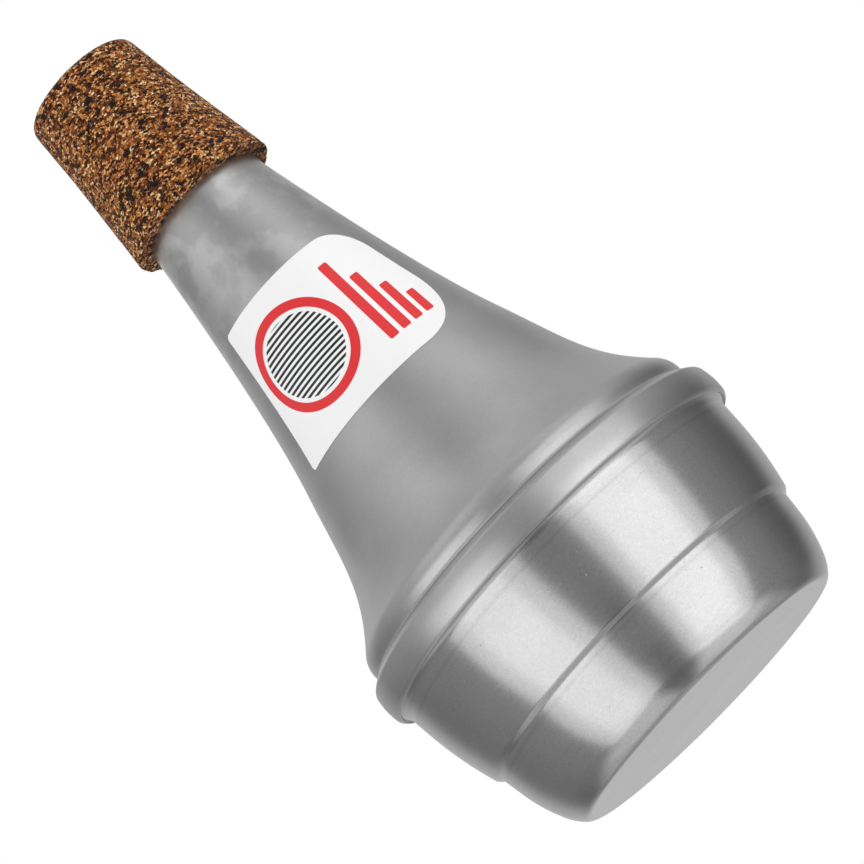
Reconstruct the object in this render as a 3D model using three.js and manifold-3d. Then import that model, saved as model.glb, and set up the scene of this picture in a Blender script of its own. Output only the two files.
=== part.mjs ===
// Trumpet practice mute: a spun aluminium cone and cup, a cork collar, an inner air tube and felt linings.
// Sizes are millimetres and angles are degrees. The mute stands on its base, with +Z up its axis to the neck.
// Heights start at the flat base and radii at the axis. The label faces -Y.
import * as THREE from 'three';
import { mergeVertices } from 'three/addons/utils/BufferGeometryUtils.js';
import Module from 'manifold-3d';

// What all the pieces share
const sheet = 1.0; // thickness of the spun metal
const gap = 0.3; // between two pieces that touch
const overrun = 2.0; // how far a cut passes the wall that it cuts
const chordError = 0.1; // how far a flat may lie from its arc
const aroundCount = 36; // flats round the axis
const filletShare = 0.98; // how much of a side its rounded corners may fill
const holeSides = 16;
const curveSteps = 5; // straight steps in each half of the cone

// The cup: its base, lower barrel, step, upper barrel and the rim inside the bead
const baseRadius = 37.15; // where the lines of the base and the wall would meet
const baseRound = 2.8;
const baseBendSpread = 2.35; // out from the base's radius
const baseBendHeight = 2.6;
const baseBendRound = 12.5;
const lowerBellySpread = 3.0; // out from the base's bend
const lowerBellyHeight = 9.4;
const lowerBellyRound = 38;
const stepFootSpread = 1.5; // out from the lower belly
const lowerBarrelHeight = 19.65;
const stepRise = 1.1;
const stepSpread = 1.25;
const stepFootRound = 0.8;
const stepTopRound = 1.2;
const upperBellySpread = 2.5; // out from the step's top
const upperBellyLift = 8.95; // above the step
const upperBellyRound = 88;
const upperBarrelHeight = 23.9;
const wallTopSpread = 1.15; // from the upper belly out to where the wall enters the bead
const rimBendDrop = 0.7; // below the bead's foot, where the wall starts to flare
const rimBendRound = 1.5;
const rimFlareSpread = 1.15;
const rimFlareRise = 0.7;
const rimFlareRound = 1.1;
const rimWidestRise = 2.0; // from the flare up to the rim's widest ring
const rimWidestRound = 3;

// The rolled bead, the groove and the lip at the foot of the cone shell
const beadSpread = 2.6; // out from the wall's top
const beadFootRound = 1.05;
const beadTuck = 1.0; // how far the bead's edge turns in
const beadTuckAngle = 7; // how far the tucked edge dips below level
const beadBellyRise = 4.25;
const beadBellyRound = 21;
const beadTopRise = 2.8; // above the bead's belly
const beadTopInset = 0.45; // in from the bead's radius
const beadTopRound = 1.2;
const beadBackRise = 1.6; // from the bead's top along its back
const beadBackInset = 1.75;
const beadBackRound = 1.5;
const grooveRise = 0.4; // above the bead's back
const grooveDepth = 1.6; // in from the bead's back
const grooveRound = 0.9;
const lipRise = 4.1;
const lipSpread = 0.38; // out from the groove
const lipRound = 5.6;
const lipMouthRise = 1.9;
const lipMouthInset = 1.8; // from the lip in to the flare's mouth

// The flare and the neck
const mouthSlope = 0.88; // gain in radius for each millimetre down
const flareHeight = 34.5;
const waistRadius = 30.4;
const waistSlope = 0.32;
const coneHeight = 62.8;
const neckFootRadius = 16.7;
const neckFootSlope = 0.17;
const neckLength = 43.6;
const neckTipRadius = 12.3;
// Shares of the height that the curve's handles reach, from the mouth up to the neck
const flareHandleShares = [0.33, 0.46];
const coneHandleShares = [0.06, 0.7];

// The two small bleed holes at the back of the cone
const bleedRadius = 1.25;
const bleedDrop = 14; // below the neck's foot
const bleedAngles = [166, 194]; // from the front

// The cork collar
const corkOverTip = 1.4; // above the metal neck
const corkTipWall = 2.8;
const corkTipRound = 1.6;
const corkMiddleWall = 2.8;
const corkMiddleLift = 24.3; // above the cork's foot
const corkMiddleRound = 300;
const corkFootWall = 3.4;
const corkFootRound = 0.7;
const corkFootLift = 3.7; // above the neck's foot

// The air tube, its rubber bush and the felt ring below it
const tubeBore = 5.0; // radius
const tubeWall = 1.0;
const tubeLength = 90;
const bushLength = 12;
const bushLipHeight = 0.8;
const neckFeltLift = 3; // above the neck's foot
const neckFeltHeight = 8;

// The felt linings and the seam gasket
const feltThickness = 3;
const coneFeltLift = 6; // above the lip
const coneFeltHeight = 54;
const cupFeltLift = 5; // above the base
const cupFeltHeight = 36;
const gasketInset = 0.7; // from the outside of the cup's rim
const gasketWidth = 1.6;
const gasketHeight = 1.1;

// The label on the front of the cone
const labelThickness = 0.25;
const labelLift = 34.8; // above the flare's mouth
const labelHeight = 37;
const labelLeftAngle = -53.5; // from the front
const labelRightAngle = 56;
const labelLeftRound = 1.2;
const labelTopRound = 9;
const labelFootRound = 16;
const labelRows = 12;
const labelColumns = 18;

// Heights and radii that the sizes above lead to
const baseBendRadius = baseRadius + baseBendSpread;
const lowerBellyRadius = baseBendRadius + lowerBellySpread;
const stepFootRadius = lowerBellyRadius + stepFootSpread;
const stepTopRadius = stepFootRadius + stepSpread;
const upperBellyRadius = stepTopRadius + upperBellySpread;
const wallTopRadius = upperBellyRadius + wallTopSpread;
const beadRadius = wallTopRadius + beadSpread;
const beadTopRadius = beadRadius - beadTopInset;
const beadBackRadius = beadTopRadius - beadBackInset;
const grooveRadius = beadBackRadius - grooveDepth;
const lipRadius = grooveRadius + lipSpread;
const mouthRadius = lipRadius - lipMouthInset;
const stepFoot = lowerBarrelHeight;
const stepTop = stepFoot + stepRise;
const beadFoot = stepTop + upperBarrelHeight;
const beadBelly = beadFoot + beadBellyRise;
const beadTop = beadBelly + beadTopRise;
const beadBack = beadTop + beadBackRise;
const groove = beadBack + grooveRise;
const lip = groove + lipRise;
const mouth = lip + lipMouthRise;
const waist = mouth + flareHeight;
const neckFoot = waist + coneHeight;
const neckTip = neckFoot + neckLength;
const bushTop = neckTip + gap + bushLipHeight;
const corkTop = neckTip + corkOverTip;
const rimRadius = beadRadius - sheet - gap;
const rimTopRadius = beadTopRadius - sheet - gap;
const rimBend = beadFoot - rimBendDrop;
const rimFlareRadius = wallTopRadius + rimFlareSpread;
const rimFlare = rimBend + rimFlareRise;
const rimWidest = rimFlare + rimWidestRise;
// The gasket fills the space between the cup's rim and the bead's back
const gasketRadius = rimTopRadius - gasketInset;
const backSlope = beadBackRise / beadBackInset;
const underBack = (sheet + gap) * Math.hypot(1, backSlope); // from the back's outside down to the gasket
const gasketTop = beadTop + (beadTopRadius - gasketRadius) * backSlope - underBack;
const gasketFoot = gasketTop - gasketHeight;
const rimTop = gasketFoot - gap;
const tubeSeat = tubeBore + tubeWall + gap; // radius of what holds the tube
const coneFeltFoot = lip + coneFeltLift;

const finishes = {
  aluminium: { color: 0x9c9c9c, roughness: 0.42, metalness: 1 },
  cork: { color: 0x8a5a2c, roughness: 0.95, metalness: 0 },
  paper: { color: 0xf4f4f2, roughness: 0.45, metalness: 0 },
  rubber: { color: 0x1c1c1e, roughness: 0.8, metalness: 0 },
  felt: { color: 0x5a5a5e, roughness: 1, metalness: 0 },
};

const wasm = await Module();
wasm.setup();

const point = (radius, height) => new THREE.Vector2(radius, height);
const radians = THREE.MathUtils.degToRad;

// The directions from a corner back and ahead, and half of the angle between them
function cornerSides(before, corner, after) {
  const back = before.clone().sub(corner).normalize();
  const ahead = after.clone().sub(corner).normalize();
  return [back, ahead, Math.acos(THREE.MathUtils.clamp(back.dot(ahead), -1, 1)) / 2];
}

// The arc that rounds the corner between two straight lines
function roundCorner(before, corner, after, round) {
  const [back, ahead, half] = cornerSides(before, corner, after);
  const turn = Math.PI - 2 * half;
  const middle = back.clone().add(ahead).normalize().multiplyScalar(round / Math.sin(half)).add(corner);
  const start = back.clone().multiplyScalar(round / Math.tan(half)).add(corner).sub(middle);
  const side = Math.sign(ahead.cross(back));
  const step = 2 * Math.acos(1 - Math.min(chordError / round, 1));
  const count = Math.max(1, Math.ceil(turn / step));
  const origin = point(0, 0);
  return Array.from({ length: count + 1 }, (_, i) =>
    start.clone().rotateAround(origin, (side * turn * i) / count).add(middle));
}

// An outline from corners, each a radius, a height and how far the corner is rounded.
// Where two rounded corners need more than the side between them, both get smaller.
function roundedPath(corners) {
  const spots = corners.map(([radius, height]) => point(radius, height));
  const reaches = corners.map(([, , round], i) =>
    round ? round / Math.tan(cornerSides(spots[i - 1], spots[i], spots[i + 1])[2]) : 0);
  const fits = spots.slice(1).map((spot, i) =>
    Math.min(1, (filletShare * spot.distanceTo(spots[i])) / (reaches[i] + reaches[i + 1])));
  return corners.flatMap(([, , round], i) =>
    round ? roundCorner(spots[i - 1], spots[i], spots[i + 1], round * Math.min(fits[i - 1], fits[i]))
      : [spots[i]]);
}

// The same path moved to the left of its own direction
function offset(path, distance) {
  const normals = path.slice(1).map((spot, i) => {
    const along = spot.clone().sub(path[i]).normalize();
    return point(-along.y, along.x);
  });
  return path.map((spot, i) => {
    const a = normals[Math.max(i - 1, 0)];
    const b = normals[Math.min(i, normals.length - 1)];
    return a.clone().add(b).multiplyScalar(distance / (1 + a.dot(b))).add(spot);
  });
}

// The radius of a rising path at a height
function radiusAt(path, height) {
  const i = Math.max(1, path.findIndex((spot) => spot.y >= height));
  const [low, high] = [path[i - 1], path[i]];
  return THREE.MathUtils.mapLinear(height, low.y, high.y, low.x, high.x);
}

// The stretch of a rising path from one height to another
function between(path, low, high) {
  const inside = path.filter((spot) => spot.y > low && spot.y < high);
  return [point(radiusAt(path, low), low), ...inside, point(radiusAt(path, high), high)];
}

// A solid of revolution about +Z from an outline that runs anticlockwise
function revolve(outline) {
  const onAxis = outline[0].x === 0;
  const closed = onAxis ? outline : [...outline, outline[0].clone()];
  return new THREE.LatheGeometry(closed, aroundCount).rotateX(Math.PI / 2);
}

// A plain ring or tube with flat ends
function ring(innerRadius, outerRadius, low, high) {
  return revolve([point(innerRadius, low), point(outerRadius, low), point(outerRadius, high),
    point(innerRadius, high)]);
}

const asSheet = (path) => revolve([...path, ...offset(path, sheet).reverse()]);

// A felt lining that lies inside a wall
function lining(path, low, high) {
  const outside = between(offset(path, sheet + gap), low, high);
  const inside = outside.map((spot) => point(spot.x - feltThickness, spot.y));
  return revolve([...outside, ...inside.reverse()]);
}

function toSolid(geometry) {
  const bare = geometry.clone();
  bare.deleteAttribute('normal');
  bare.deleteAttribute('uv');
  const merged = mergeVertices(bare);
  return new wasm.Manifold(new wasm.Mesh({
    numProp: 3,
    vertProperties: new Float32Array(merged.attributes.position.array),
    triVerts: new Uint32Array(merged.index.array),
  }));
}

function toGeometry(solid) {
  const mesh = solid.getMesh();
  const geometry = new THREE.BufferGeometry();
  geometry.setAttribute('position', new THREE.BufferAttribute(mesh.vertProperties, 3));
  geometry.setIndex(new THREE.BufferAttribute(mesh.triVerts, 1));
  return geometry;
}

function cupPath() {
  return roundedPath([
    [0, 0, 0],
    [baseRadius, 0, baseRound],
    [baseBendRadius, baseBendHeight, baseBendRound],
    [lowerBellyRadius, lowerBellyHeight, lowerBellyRound],
    [stepFootRadius, stepFoot, stepFootRound],
    [stepTopRadius, stepTop, stepTopRound],
    [upperBellyRadius, stepTop + upperBellyLift, upperBellyRound],
    [wallTopRadius, rimBend, rimBendRound],
    [rimFlareRadius, rimFlare, rimFlareRound],
    [rimRadius, rimWidest, rimWidestRound],
    [rimTopRadius, rimTop, 0],
  ]);
}

// One half of the cone, bent between two radii with a given slope at each end
function coneCurve(low, lowRadius, lowSlope, high, highRadius, highSlope, handleShares) {
  const [lowReach, highReach] = handleShares.map((share) => share * (high - low));
  return new THREE.CubicBezierCurve(
    point(lowRadius, low),
    point(lowRadius - lowSlope * lowReach, low + lowReach),
    point(highRadius + highSlope * highReach, high - highReach),
    point(highRadius, high),
  ).getPoints(curveSteps);
}

function shellPath() {
  const dip = Math.tan(radians(beadTuckAngle));
  const seam = roundedPath([
    [beadRadius - beadTuck, beadFoot - beadTuck * dip, 0],
    [beadRadius, beadFoot, beadFootRound],
    [beadRadius, beadBelly, beadBellyRound],
    [beadTopRadius, beadTop, beadTopRound],
    [beadBackRadius, beadBack, beadBackRound],
    [grooveRadius, groove, grooveRound],
    [lipRadius, lip, lipRound],
    [mouthRadius, mouth, 0],
  ]);
  const flare = coneCurve(mouth, mouthRadius, mouthSlope, waist, waistRadius, waistSlope, flareHandleShares);
  const cone = coneCurve(waist, waistRadius, waistSlope, neckFoot, neckFootRadius, neckFootSlope,
    coneHandleShares);
  return [...seam, ...flare.slice(1), ...cone.slice(1), point(neckTipRadius, neckTip)];
}

const cupOutside = cupPath();
const shellOutside = shellPath();
const coneOutside = shellOutside.filter((spot) => spot.y >= mouth);
const neckRadiusAt = (height) => radiusAt(coneOutside, height);
const neckBoreAt = (height) => neckRadiusAt(height) - sheet - gap;

// A short pin that cuts through the cone's wall at an angle from the front
function bleedPin(angle) {
  const height = neckFoot - bleedDrop;
  const pin = new THREE.CylinderGeometry(bleedRadius, bleedRadius, sheet + 2 * overrun, holeSides);
  return pin.translate(0, -neckRadiusAt(height) + sheet / 2, height).rotateZ(radians(angle));
}

function coneShell() {
  let shell = toSolid(asSheet(shellOutside));
  for (const angle of bleedAngles) shell = shell.subtract(toSolid(bleedPin(angle)));
  return toGeometry(shell);
}

function corkCollar() {
  const foot = neckFoot + corkFootLift;
  const middle = foot + corkMiddleLift;
  const seat = (height) => neckRadiusAt(height) + gap;
  const tipSeat = neckTipRadius + gap;
  const outside = roundedPath([
    [seat(foot), foot, 0],
    [seat(foot) + corkFootWall, foot, corkFootRound],
    [seat(middle) + corkMiddleWall, middle, corkMiddleRound],
    [tipSeat + corkTipWall, corkTop, corkTipRound],
    [tipSeat, corkTop, 0],
  ]);
  return revolve([...outside, point(tipSeat, neckTip)]);
}

// A tapered rubber bung with a lip that covers the neck's rim
function mouthBush() {
  const foot = neckTip - bushLength;
  return revolve([
    point(tubeSeat, foot),
    point(neckBoreAt(foot), foot),
    point(neckBoreAt(neckTip), neckTip),
    point(neckBoreAt(neckTip), neckTip + gap),
    point(neckTipRadius, neckTip + gap),
    point(neckTipRadius, bushTop),
    point(tubeSeat, bushTop),
  ]);
}

function neckFelt() {
  const foot = neckFoot + neckFeltLift;
  const top = foot + neckFeltHeight;
  return revolve([point(tubeSeat, foot), point(neckBoreAt(foot), foot), point(neckBoreAt(top), top),
    point(tubeSeat, top)]);
}

function baseFelt() {
  const flatRadius = cupOutside[1].x - gap;
  return revolve([point(0, sheet + gap), point(flatRadius, sheet + gap),
    point(flatRadius, sheet + gap + feltThickness), point(0, sheet + gap + feltThickness)]);
}

const seamGasket = () => ring(gasketRadius - gasketWidth, gasketRadius, gasketFoot, gasketTop);

// How far a rounded corner takes the label's side in, at a distance from the corner's end
function cornerInset(distance, round) {
  const rest = Math.max(round - distance, 0);
  return round - Math.sqrt(round * round - rest * rest);
}

// The two sides of the label at a height, as angles from the front
function labelSides(low, height, radius) {
  const above = height - low;
  const below = labelHeight - above;
  const leftInset = Math.max(cornerInset(above, labelLeftRound), cornerInset(below, labelLeftRound));
  const rightInset = Math.max(cornerInset(above, labelFootRound), cornerInset(below, labelTopRound));
  return [radians(labelLeftAngle) + leftInset / radius, radians(labelRightAngle) - rightInset / radius];
}

// The label's points, row by row, at a distance outside the cone
function labelLayer(distance) {
  const low = mouth + labelLift;
  const spots = [];
  for (let row = 0; row <= labelRows; row += 1) {
    const height = low + (labelHeight * (1 - Math.cos((Math.PI * row) / labelRows))) / 2;
    const radius = radiusAt(coneOutside, height);
    const [left, right] = labelSides(low, height, radius);
    for (let column = 0; column <= labelColumns; column += 1) {
      const angle = THREE.MathUtils.lerp(left, right, column / labelColumns);
      const reach = radius + distance;
      spots.push(reach * Math.sin(angle), -reach * Math.cos(angle), height);
    }
  }
  return spots;
}

function label() {
  const wide = labelColumns + 1;
  const layer = wide * (labelRows + 1);
  const faces = [];
  const quad = (a, b, c, d) => faces.push(a, b, c, a, c, d);
  for (let row = 0; row < labelRows; row += 1) {
    for (let column = 0; column < labelColumns; column += 1) {
      const a = row * wide + column;
      quad(a, a + 1, a + wide + 1, a + wide);
      quad(layer + a, layer + a + wide, layer + a + wide + 1, layer + a + 1);
    }
  }
  for (let column = 0; column < labelColumns; column += 1) {
    const top = labelRows * wide + column;
    quad(column, layer + column, layer + column + 1, column + 1);
    quad(top, top + 1, layer + top + 1, layer + top);
  }
  for (let row = 0; row < labelRows; row += 1) {
    const left = row * wide;
    const right = left + labelColumns;
    quad(left, left + wide, layer + left + wide, layer + left);
    quad(right, layer + right, layer + right + wide, right + wide);
  }
  const geometry = new THREE.BufferGeometry();
  const spots = [...labelLayer(gap + labelThickness), ...labelLayer(gap)];
  geometry.setAttribute('position', new THREE.Float32BufferAttribute(spots, 3));
  geometry.setIndex(faces);
  return geometry;
}

const mute = new THREE.Group();

function add(name, geometry, finish) {
  const piece = new THREE.Mesh(geometry, new THREE.MeshStandardMaterial(finishes[finish]));
  piece.name = name;
  mute.add(piece);
}

add('base_cup', asSheet(cupOutside), 'aluminium');
add('cone_shell', coneShell(), 'aluminium');
add('cork_collar', corkCollar(), 'cork');
add('label', label(), 'paper');
add('air_tube', ring(tubeBore, tubeBore + tubeWall, bushTop - tubeLength, bushTop), 'aluminium');
add('mouth_bush', mouthBush(), 'rubber');
add('neck_felt', neckFelt(), 'felt');
add('cone_felt', lining(coneOutside, coneFeltFoot, coneFeltFoot + coneFeltHeight), 'felt');
add('cup_felt', lining(cupOutside, cupFeltLift, cupFeltLift + cupFeltHeight), 'felt');
add('base_felt', baseFelt(), 'felt');
add('seam_gasket', seamGasket(), 'rubber');

export default mute;
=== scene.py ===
# The looks of a trumpet practice mute: spun metal, pressed cork, a printed label, rubber and felt.
# Outlines are in millimetres, as radius and height above the flat base.
# Angles are degrees from the front, -Y.
import math

import bmesh
import bpy
from mathutils import Matrix, Vector, noise


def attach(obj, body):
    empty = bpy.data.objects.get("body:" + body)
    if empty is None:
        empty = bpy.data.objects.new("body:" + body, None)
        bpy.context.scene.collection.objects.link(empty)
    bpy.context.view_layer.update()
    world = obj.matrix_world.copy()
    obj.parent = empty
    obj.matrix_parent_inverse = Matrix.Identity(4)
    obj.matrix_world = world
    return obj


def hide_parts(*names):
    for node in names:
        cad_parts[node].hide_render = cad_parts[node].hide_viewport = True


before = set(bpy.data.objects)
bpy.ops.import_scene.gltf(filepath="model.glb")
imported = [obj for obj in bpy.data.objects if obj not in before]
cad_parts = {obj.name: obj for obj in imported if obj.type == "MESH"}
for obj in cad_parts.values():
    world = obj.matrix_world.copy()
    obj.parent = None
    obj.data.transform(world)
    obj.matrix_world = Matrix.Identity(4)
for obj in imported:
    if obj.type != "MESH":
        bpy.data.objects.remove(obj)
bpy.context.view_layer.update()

MM = 0.001

# How finely the round pieces are made
AROUND = 288
CORK_AROUND = 400
CHORD_ERROR = 0.004  # how far a rounded corner may depart from its arc
STEP = 1.5  # the longest stretch along an outline
CORK_STEP = 0.33
CURVE_STEPS = 40  # in each half of the cone
SHARP_ANGLE = 35  # an edge that turns more, in degrees, stays a crease
CORK_SHARP_ANGLE = 80
FELT_SHARP_ANGLE = 60

# What all the pieces share
SHEET = 1.0
GAP = 0.3
CONTACT = 0.04  # between two pieces that are glued or pressed together

# The cup: base, lower barrel, step, upper barrel, and the rim inside the bead
BASE_RADIUS = 37.15
BASE_ROUND = 2.8
BASE_BEND_SPREAD = 2.35
BASE_BEND_HEIGHT = 2.6
BASE_BEND_ROUND = 12.5
LOWER_BELLY_SPREAD = 3.0
LOWER_BELLY_HEIGHT = 9.4
LOWER_BELLY_ROUND = 38
STEP_FOOT_SPREAD = 1.5
STEP_FOOT = 19.65
STEP_RISE = 1.1
STEP_SPREAD = 1.25
STEP_FOOT_ROUND = 0.8
STEP_TOP_ROUND = 1.2
UPPER_BELLY_SPREAD = 2.5
UPPER_BELLY_LIFT = 8.95
UPPER_BELLY_ROUND = 88
UPPER_BARREL_HEIGHT = 24.1
WALL_TOP_SPREAD = 1.15
RIM_BEND_DROP = 0.9  # below the bead's foot
RIM_BEND_ROUND = 2.4
RIM_FLARE_SPREAD = 1.25
RIM_FLARE_RISE = 0.9
RIM_FLARE_ROUND = 0.3
RIM_WIDEST_RISE = 2.0
RIM_WIDEST_ROUND = 3

# The rolled bead, the groove and the lip at the foot of the cone
BEAD_SPREAD = 2.7
BEAD_FOOT_INSET = 0.45
BEAD_FOOT_ROUND = 1.4
BEAD_TUCK = 0.9  # how far the bead's edge turns in
BEAD_TUCK_ANGLE = 22  # how far the tucked edge dips below level
BEAD_BELLY_RISE = 3.2
BEAD_BELLY_ROUND = 15
BEAD_TOP_RISE = 3.65
BEAD_TOP_INSET = 0.55
BEAD_TOP_ROUND = 1.2
BEAD_BACK_RISE = 1.35
BEAD_BACK_INSET = 1.75
BEAD_BACK_ROUND = 1.5
GROOVE_DEPTH = 1.6
GROOVE_RISE = 0.35
GROOVE_ROUND = 1.1
LIP_RISE = 4.4
LIP_SPREAD = 0.38
LIP_ROUND = 5.6
LIP_MOUTH_RISE = 1.9
LIP_MOUTH_INSET = 1.8

# The flare and the neck
MOUTH_SLOPE = 0.88
FLARE_HEIGHT = 34.5
WAIST_RADIUS = 30.4
WAIST_SLOPE = 0.32
CONE_HEIGHT = 62.8
NECK_FOOT_RADIUS = 16.7
NECK_FOOT_SLOPE = 0.17
NECK_LENGTH = 43.6
NECK_TIP_RADIUS = 12.3
FLARE_HANDLE_SHARES = (0.33, 0.46)
CONE_HANDLE_SHARES = (0.06, 0.7)

# The two bleed holes at the back
BLEED_RADIUS = 1.25
BLEED_DROP = 14
BLEED_ANGLES = (166, 194)
BLEED_SIDES = 48

# The cork collar
CORK_OVER_TIP = 1.4
CORK_TIP_WALL = 2.8
CORK_TIP_ROUND = 1.6
CORK_MIDDLE_WALL = 2.8
CORK_MIDDLE_LIFT = 24.3
CORK_MIDDLE_ROUND = 300
CORK_FOOT_WALL = 3.4
CORK_FOOT_ROUND = 0.35
CORK_FOOT_LIFT = 3.7
CORK_GRAIN = 0.95
CORK_RELIEF = 0.09
CORK_CRUMBLE = 0.5  # the relief at the wide end, where the edge crumbles
CORK_CRUMBLE_REACH = 3.5  # above the wide end

# The air tube and what holds it
TUBE_BORE = 5.0
TUBE_WALL = 1.0
TUBE_LENGTH = 90
TUBE_EDGE_ROUND = 0.25
BUSH_LENGTH = 12
BUSH_LIP_HEIGHT = 0.8
BUSH_LIP_ROUND = 0.3
NECK_FELT_LIFT = 3
NECK_FELT_HEIGHT = 8

# The felt linings and the seam gasket
FELT_THICKNESS = 3
FELT_GRAIN = 1.6
FELT_RELIEF = 0.12
FELT_STEP = FELT_GRAIN / 2
CONE_FELT_LIFT = 6
CONE_FELT_HEIGHT = 54
CUP_FELT_LIFT = 5
CUP_FELT_HEIGHT = 36
GASKET_INSET = 0.7
GASKET_WIDTH = 1.6
GASKET_HEIGHT = 1.1
GASKET_ROUND = GASKET_HEIGHT / 4

# The relief of cork and felt: grains with grooves between them, and slow swells under both
GRAIN_GROOVE_STEEPNESS = 2.2
GRAIN_GROOVE_SHARE = 0.6
SWELL_SHARE = 0.4
SWELL_GRAINS = 3  # how many grains a swell spans

# The label
LABEL_THICKNESS = 0.16
LABEL_LIFT = 34.8
LABEL_HEIGHT = 37
LABEL_LEFT = -53.5  # degrees from the front
LABEL_RIGHT = 56
LABEL_LEFT_ROUND = 1.2
LABEL_TOP_ROUND = 9
LABEL_FOOT_ROUND = 16
LABEL_ROWS = 120
LABEL_COLUMNS = 144

# Heights and radii that those sizes lead to
BASE_BEND_RADIUS = BASE_RADIUS + BASE_BEND_SPREAD
LOWER_BELLY_RADIUS = BASE_BEND_RADIUS + LOWER_BELLY_SPREAD
STEP_FOOT_RADIUS = LOWER_BELLY_RADIUS + STEP_FOOT_SPREAD
STEP_TOP_RADIUS = STEP_FOOT_RADIUS + STEP_SPREAD
UPPER_BELLY_RADIUS = STEP_TOP_RADIUS + UPPER_BELLY_SPREAD
WALL_TOP_RADIUS = UPPER_BELLY_RADIUS + WALL_TOP_SPREAD
BEAD_RADIUS = WALL_TOP_RADIUS + BEAD_SPREAD
BEAD_FOOT_RADIUS = BEAD_RADIUS - BEAD_FOOT_INSET
BEAD_TOP_RADIUS = BEAD_RADIUS - BEAD_TOP_INSET
BEAD_BACK_RADIUS = BEAD_TOP_RADIUS - BEAD_BACK_INSET
GROOVE_RADIUS = BEAD_BACK_RADIUS - GROOVE_DEPTH
LIP_RADIUS = GROOVE_RADIUS + LIP_SPREAD
MOUTH_RADIUS = LIP_RADIUS - LIP_MOUTH_INSET
STEP_TOP = STEP_FOOT + STEP_RISE
BEAD_FOOT = STEP_TOP + UPPER_BARREL_HEIGHT
BEAD_BELLY = BEAD_FOOT + BEAD_BELLY_RISE
BEAD_TOP = BEAD_BELLY + BEAD_TOP_RISE
BEAD_BACK = BEAD_TOP + BEAD_BACK_RISE
GROOVE = BEAD_BACK + GROOVE_RISE
LIP = GROOVE + LIP_RISE
MOUTH = LIP + LIP_MOUTH_RISE
WAIST = MOUTH + FLARE_HEIGHT
NECK_FOOT = WAIST + CONE_HEIGHT
NECK_TIP = NECK_FOOT + NECK_LENGTH
BUSH_TOP = NECK_TIP + GAP + BUSH_LIP_HEIGHT
CORK_TOP = NECK_TIP + CORK_OVER_TIP
RIM_RADIUS = BEAD_RADIUS - SHEET - GAP
RIM_TOP_RADIUS = BEAD_TOP_RADIUS - SHEET - GAP
RIM_BEND = BEAD_FOOT - RIM_BEND_DROP
RIM_FLARE_RADIUS = WALL_TOP_RADIUS + RIM_FLARE_SPREAD
RIM_FLARE = RIM_BEND + RIM_FLARE_RISE
RIM_WIDEST = RIM_FLARE + RIM_WIDEST_RISE
GASKET_RADIUS = RIM_TOP_RADIUS - GASKET_INSET
BACK_SLOPE = BEAD_BACK_RISE / BEAD_BACK_INSET
UNDER_BACK = (SHEET + GAP) * math.hypot(1, BACK_SLOPE)  # from the back's outside down to the gasket
GASKET_TOP = BEAD_TOP + (BEAD_TOP_RADIUS - GASKET_RADIUS) * BACK_SLOPE - UNDER_BACK
GASKET_FOOT = GASKET_TOP - GASKET_HEIGHT
RIM_TOP = GASKET_FOOT - GAP
CORK_FOOT = NECK_FOOT + CORK_FOOT_LIFT
LABEL_FOOT = MOUTH + LABEL_LIFT

# The camera, at the photograph's viewing angle
CAMERA_PLACE = (-0.40, -782.74, -91.87)
CAMERA_RISE = 12.805
CAMERA_ROLL = -45.713
SENSOR_WIDTH = 36
FRAME_PIXELS = 864
FOCAL_PIXELS = 3600


# Outlines

def round_corner(before, corner, after, radius):
    """The arc that rounds the corner between two straight lines."""
    back = (before - corner).normalized()
    ahead = (after - corner).normalized()
    half = back.angle(ahead) / 2
    turn = math.pi - 2 * half
    middle = corner + (back + ahead).normalized() * (radius / math.sin(half))
    start = corner + back * (radius / math.tan(half)) - middle
    side = math.copysign(1, ahead.cross(back))
    count = max(2, math.ceil(turn / (2 * math.acos(1 - CHORD_ERROR / radius))))
    return [middle + Matrix.Rotation(side * turn * i / count, 2) @ start for i in range(count + 1)]


def rounded_path(corners):
    """An outline from corners, each a radius, a height and how far the corner is rounded."""
    spots = [Vector(corner[:2]) for corner in corners]
    path = []
    for i, (radius, height, rounding) in enumerate(corners):
        if rounding:
            path += round_corner(spots[i - 1], spots[i], spots[(i + 1) % len(spots)], rounding)
        else:
            path.append(spots[i])
    return path


def offset(path, distance):
    """The same path moved to the left of its own direction."""
    normals = []
    for low, high in zip(path, path[1:]):
        along = (high - low).normalized()
        normals.append(Vector((-along.y, along.x)))
    moved = []
    for i, spot in enumerate(path):
        a = normals[max(i - 1, 0)]
        b = normals[min(i, len(normals) - 1)]
        moved.append(spot + (a + b) * (distance / (1 + a.dot(b))))
    return moved


def stepped(path, step):
    """The same path with no stretch longer than a step."""
    spots = [path[0]]
    for low, high in zip(path, path[1:]):
        count = max(1, math.ceil((high - low).length / step))
        spots += [low.lerp(high, (i + 1) / count) for i in range(count)]
    return spots


def radius_at(path, height):
    """The radius of a rising path at a height."""
    i = next((i for i, spot in enumerate(path) if spot.y >= height and i), len(path) - 1)
    low, high = path[i - 1], path[i]
    return low.x + (high.x - low.x) * (height - low.y) / (high.y - low.y)


def between(path, low, high):
    """The stretch of a rising path from one height to another."""
    inside = [spot for spot in path if low < spot.y < high]
    return [Vector((radius_at(path, low), low)), *inside, Vector((radius_at(path, high), high))]


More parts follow.
